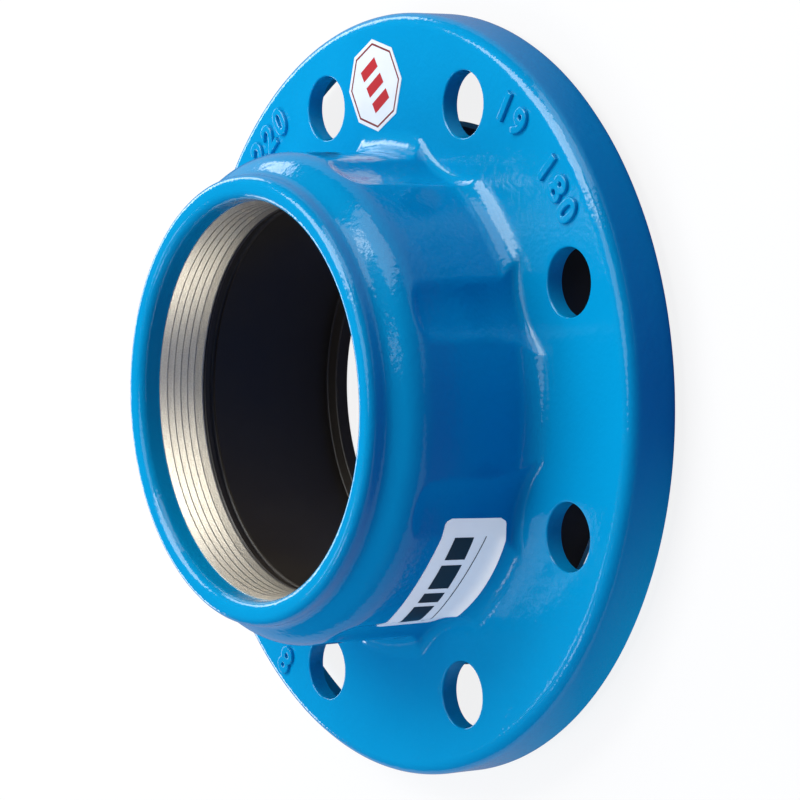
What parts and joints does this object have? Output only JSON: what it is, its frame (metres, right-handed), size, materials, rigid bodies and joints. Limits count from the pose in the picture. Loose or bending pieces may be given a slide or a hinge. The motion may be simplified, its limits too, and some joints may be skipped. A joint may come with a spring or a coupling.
{
  "type": "flange adaptor",
  "caption": "Cast flange adaptor for plain-ended pipe: hollow-backed bolted flange, fluted neck, round socket mouth, split grip ring and a rubber gasket that seals pipe and flange.",
  "frame": {"origin": "centre of the sealing face, on the pipe axis", "axes": "+Z along the pipe axis, out of the socket mouth; +X lies midway between two bolt holes"},
  "size_m": [0.22, 0.22, 0.0705],
  "materials": {
    "blue_epoxy": "gloss epoxy powder coat on a sand casting",
    "nickel_ring": "nickel-plated, finely turned",
    "black_rubber": "smooth moulded, semi-gloss"
  },
  "bodies": {
    "root": {"body": "blue_epoxy", "grip_ring": "nickel_ring", "gasket": "black_rubber"}
  },
  "joints": []
}
